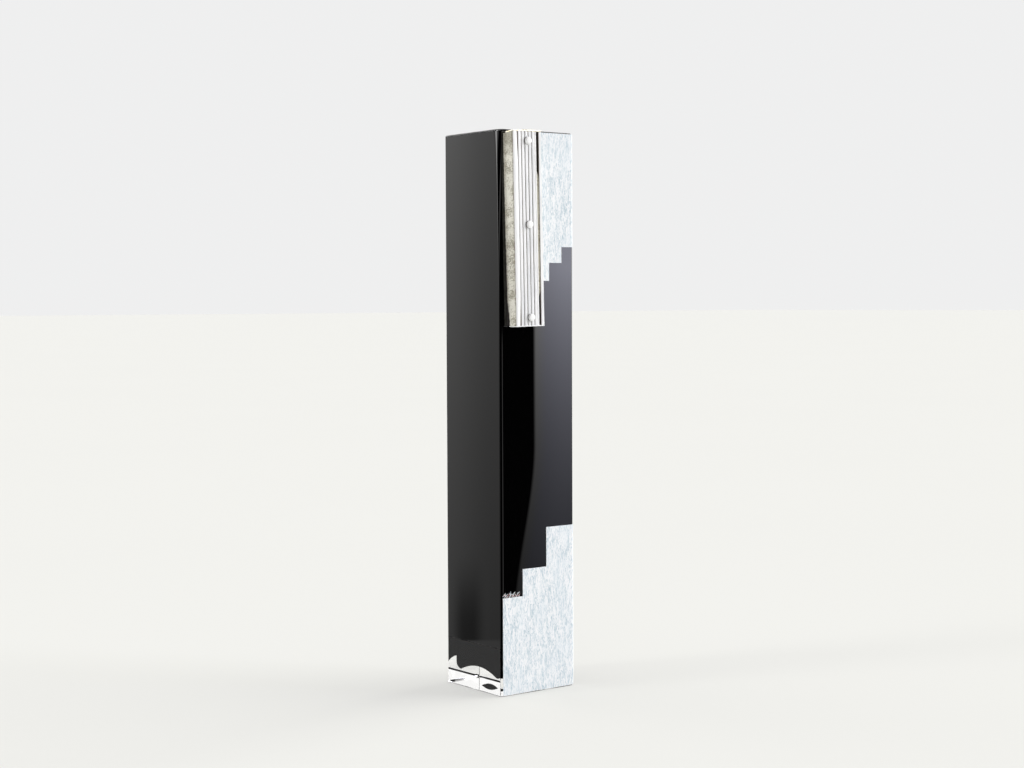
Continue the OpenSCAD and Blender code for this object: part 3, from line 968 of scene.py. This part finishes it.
# %% Helpers for Geometry Nodes
def new_tree(name, **inputs):
    """A Geometry Nodes tree with a geometry input and output and named number inputs."""
    tree = bpy.data.node_groups.new(name, "GeometryNodeTree")
    tree.interface.new_socket("Geometry", in_out="INPUT", socket_type="NodeSocketGeometry")
    tree.interface.new_socket("Geometry", in_out="OUTPUT", socket_type="NodeSocketGeometry")
    for label, value in inputs.items():
        kind = "NodeSocketInt" if isinstance(value, int) else "NodeSocketFloat"
        tree.interface.new_socket(label, in_out="INPUT", socket_type=kind).default_value = value
    return tree, tree.nodes.new("NodeGroupInput"), tree.nodes.new("NodeGroupOutput")


def add(tree, kind, settings=None, **sockets):
    """Adds a node, sets its properties, and links or sets its inputs by name."""
    node = tree.nodes.new(kind)
    for key, value in (settings or {}).items():
        setattr(node, key, value)
    for label, value in sockets.items():
        link(tree, value, node.inputs[label.replace("_", " ")])
    return node


def grow(name, tree, guide, values):
    """Runs a tree on a guide mesh with named values and returns the result as a plain piece."""
    holder = bpy.data.objects.new(name + "_guide", guide)
    bpy.context.scene.collection.objects.link(holder)
    modifier = holder.modifiers.new("grow", "NODES")
    modifier.node_group = tree
    for item in tree.interface.items_tree:
        if item.item_type == "SOCKET" and item.in_out == "INPUT" and item.name in values:
            modifier[item.identifier] = values[item.name]
    depsgraph = bpy.context.evaluated_depsgraph_get()
    data = bpy.data.meshes.new_from_object(holder.evaluated_get(depsgraph))
    data.name = name
    bpy.data.objects.remove(holder)
    piece = bpy.data.objects.new(name, data)
    bpy.context.scene.collection.objects.link(piece)
    return piece


def guide(name, points, edges=()):
    """A mesh of points, and edges between them where a tree needs a line."""
    data = bpy.data.meshes.new(name)
    data.from_pydata(points, edges, [])
    return data


def settle(piece, place):
    """Moves a piece's mesh to its place and smooths it where faces meet at a low angle."""
    piece.data.transform(place)
    piece.data.shade_smooth()
    piece.data.set_sharp_from_angle(angle=SMOOTH_BELOW)


# %% Ribs
def rib_tree():
    """A row of bars twice as wide as high, with well rounded corners; radius is half the width."""
    tree, given, result = new_tree("half_round_ribs", Count=RIB_COUNT, Pitch=1.0, Radius=1.0, Length=1.0)
    way = add(tree, "ShaderNodeCombineXYZ", Z=given.outputs["Length"])
    line = add(tree, "GeometryNodeCurvePrimitiveLine", End=way.outputs[0])
    radius = given.outputs["Radius"]
    width = calc(tree, "MULTIPLY", radius, 2.0)
    block = add(tree, "GeometryNodeCurvePrimitiveQuadrilateral", Width=width, Height=radius)
    crown = add(tree, "GeometryNodeFilletCurve", {"mode": "POLY"}, Curve=block.outputs[0], Count=8,
                Radius=calc(tree, "MULTIPLY", radius, 0.5), Limit_Radius=True)
    sink = add(tree, "ShaderNodeCombineXYZ", Y=calc(tree, "MULTIPLY", radius, -0.5))
    section = add(tree, "GeometryNodeTransform", Geometry=crown.outputs[0], Translation=sink.outputs[0])
    bar = add(tree, "GeometryNodeCurveToMesh", Curve=line.outputs[0], Profile_Curve=section.outputs[0],
              Fill_Caps=True)
    step = add(tree, "ShaderNodeCombineXYZ", X=given.outputs["Pitch"])
    row = add(tree, "GeometryNodeMeshLine", Count=given.outputs["Count"], Offset=step.outputs[0])
    bars = add(tree, "GeometryNodeInstanceOnPoints", Points=row.outputs[0], Instance=bar.outputs[0])
    real = add(tree, "GeometryNodeRealizeInstances", Geometry=bars.outputs[0])
    metal = add(tree, "GeometryNodeSetMaterial", Geometry=real.outputs[0], Material=POLISHED)
    link(tree, metal.outputs[0], result.inputs[0])
    return tree


RIB_LENGTH = PLAQUE_HEIGHT - TOP_PLATE_T - PLATE_T
FIRST_RIB = BAND_RIGHT + RIB_PITCH / 2
ribs = grow("ribs", rib_tree(), guide("rib_guide", [(0, 0, 0)]),
            {"Count": RIB_COUNT, "Pitch": RIB_PITCH, "Radius": RIB_RADIUS, "Length": RIB_LENGTH})
settle(ribs, ON_PLAQUE @ Matrix.Translation((FIRST_RIB, -RIB_FLOOR, PLATE_T)))
stand_for(ribs, "polished_silver", *[f"rib_{i + 1}" for i in range(RIB_COUNT)])

# %% Studs
STUD_RADIUS = 2.1 * MM
STUD_COLLAR = 0.35 * MM
STUD_DOME = 1.15 * MM
STUD_SIDES = 40
DOME_RISE = 1.9
STUD_ACROSS = BAND_RIGHT + 3 * RIB_PITCH - 0.4 * MM
STUD_HEIGHTS = {"stud_bottom": 4.8 * MM, "stud_middle": 54.6 * MM, "stud_top": 99.2 * MM}


def stud_tree():
    """A collar and a pressed dome, steep at its foot and flat on top, on every guide point."""
    tree, given, result = new_tree("domed_studs", Radius=1.0, Collar=1.0, Dome=1.0)
    radius, collar, dome = (given.outputs[name] for name in ("Radius", "Collar", "Dome"))
    ball = add(tree, "GeometryNodeMeshUVSphere", Segments=STUD_SIDES, Rings=STUD_SIDES // 2, Radius=1.0)
    tall = calc(tree, "MULTIPLY", dome, DOME_RISE)
    stretch = add(tree, "ShaderNodeCombineXYZ", X=radius, Y=tall, Z=radius)
    sink = add(tree, "ShaderNodeCombineXYZ", Y=calc(tree, "MULTIPLY", collar, -1.0))
    ball = add(tree, "GeometryNodeTransform", Geometry=ball.outputs[0], Scale=stretch.outputs[0])
    spot = add(tree, "ShaderNodeSeparateXYZ", Vector=add(tree, "GeometryNodeInputPosition").outputs[0])
    soft = calc(tree, "MULTIPLY", dome, calc(tree, "TANH", calc(tree, "DIVIDE", spot.outputs["Y"], dome)))
    pressed = calc(tree, "MULTIPLY", soft, 1.0 / math.tanh(DOME_RISE))
    where = add(tree, "ShaderNodeCombineXYZ", X=spot.outputs["X"], Y=pressed, Z=spot.outputs["Z"])
    head = add(tree, "GeometryNodeSetPosition", Geometry=ball.outputs[0], Position=where.outputs[0])
    head = add(tree, "GeometryNodeTransform", Geometry=head.outputs[0], Translation=sink.outputs[0])
    disc = add(tree, "GeometryNodeMeshCylinder", Vertices=STUD_SIDES, Radius=radius, Depth=collar)
    half_sink = add(tree, "ShaderNodeCombineXYZ", Y=calc(tree, "MULTIPLY", collar, -0.5))
    lie = add(tree, "GeometryNodeTransform", Geometry=disc.outputs[0], Translation=half_sink.outputs[0],
              Rotation=(math.pi / 2, 0, 0))
    whole = add(tree, "GeometryNodeJoinGeometry")
    link(tree, lie.outputs[0], whole.inputs[0])
    link(tree, head.outputs[0], whole.inputs[0])
    set_out = add(tree, "GeometryNodeInstanceOnPoints", Points=given.outputs["Geometry"],
                  Instance=whole.outputs[0])
    real = add(tree, "GeometryNodeRealizeInstances", Geometry=set_out.outputs[0])
    metal = add(tree, "GeometryNodeSetMaterial", Geometry=real.outputs[0], Material=STUD_SILVER)
    link(tree, metal.outputs[0], result.inputs[0])
    return tree


stud_guide = guide("stud_guide", [(STUD_ACROSS, -PLAQUE_OUT, z) for z in STUD_HEIGHTS.values()])
studs = grow("studs", stud_tree(), stud_guide,
             {"Radius": STUD_RADIUS, "Collar": STUD_COLLAR, "Dome": STUD_DOME})
settle(studs, ON_PLAQUE)
stand_for(studs, "stud_silver", *STUD_HEIGHTS)

# %% [markdown]
# ## Frayed leaf
#
# Where the lowest step of the leaf was torn, slivers of leaf and of its reddish size stand
# up from the edge. They are many small bits along a line, so one tree scatters them: it
# spreads points along a guide edge, gives each a random turn and size from a fixed seed,
# and realizes them.

# %% A tree that scatters bits along an edge
def scatter_tree(name, material, seed):
    """Slivers along the guide's edge, each moved, turned and sized by chance."""
    tree, given, result = new_tree(name, Spacing=1.0, Width=1.0, Length=1.0, Spread=1.0, Turn=1.0)
    spacing, width, length, spread, turn = (
        given.outputs[label] for label in ("Spacing", "Width", "Length", "Spread", "Turn"))
    line = add(tree, "GeometryNodeMeshToCurve", Mesh=given.outputs["Geometry"])
    spots = add(tree, "GeometryNodeCurveToPoints", {"mode": "LENGTH"}, Curve=line.outputs[0],
                Length=spacing)

    def chance(low, high, shift):
        """A random number between two values, with a seed of its own."""
        node = add(tree, "FunctionNodeRandomValue", Seed=seed + shift)
        link(tree, low, node.inputs[2])
        link(tree, high, node.inputs[3])
        return node.outputs[1]

    across = calc(tree, "MULTIPLY", spacing, 0.6)
    shift = add(tree, "ShaderNodeCombineXYZ", X=chance(calc(tree, "MULTIPLY", across, -1.0), across, 0),
                Z=chance(0.0, spread, 1))
    moved = add(tree, "GeometryNodeSetPosition", Geometry=spots.outputs[0], Offset=shift.outputs[0])
    bit = add(tree, "GeometryNodeMeshIcoSphere", Radius=1.0, Subdivisions=2)
    size = chance(0.35, 1.0, 2)
    scale = add(tree, "ShaderNodeCombineXYZ", X=calc(tree, "MULTIPLY", width, size),
                Y=calc(tree, "MULTIPLY", width, 0.35), Z=calc(tree, "MULTIPLY", length, size))
    turned = add(tree, "ShaderNodeCombineXYZ", Y=chance(calc(tree, "MULTIPLY", turn, -1.0), turn, 3))
    bits = add(tree, "GeometryNodeInstanceOnPoints", Points=moved.outputs[0], Instance=bit.outputs[0],
               Rotation=turned.outputs[0], Scale=scale.outputs[0])
    real = add(tree, "GeometryNodeRealizeInstances", Geometry=bits.outputs[0])
    finish = add(tree, "GeometryNodeSetMaterial", Geometry=real.outputs[0], Material=material)
    link(tree, finish.outputs[0], result.inputs[0])
    return tree


# %% Frayed edge of the lowest step
SIZE_RED = patinated_metal("leaf_size", (0.55, 0.25, 0.24), (0.80, 0.62, 0.60), 0.4, (0.4, 0.6),
                           (2.0, 2.0, 2.0), 0.2, metallic=0.0)
STEP_TOP = 53.4 * MM
BIT_OUT = block_low.y - 0.12 * MM
FRAY = [(block_low.x + 2.0 * MM, BIT_OUT, STEP_TOP), (block_low.x + 12.6 * MM, BIT_OUT, STEP_TOP + 0.2 * MM)]
LEAF_BITS = {"Spacing": 0.42 * MM, "Width": 0.2 * MM, "Length": 1.4 * MM, "Spread": 2.2 * MM, "Turn": 1.1}
SIZE_BITS = {"Spacing": 0.75 * MM, "Width": 0.2 * MM, "Length": 0.9 * MM, "Spread": 1.8 * MM, "Turn": 1.4}
for name, material, seed, bits, slot in (("frayed_leaf", LEAF, 11, LEAF_BITS, "silver_leaf"),
                                         ("frayed_size", SIZE_RED, 37, SIZE_BITS, "adhesive")):
    edge = guide(name + "_edge", FRAY, [(0, 1)])
    fray = grow(name, scatter_tree(name + "_tree", material, seed), edge, bits)
    settle(fray, Matrix())
    stand_for(fray, slot)
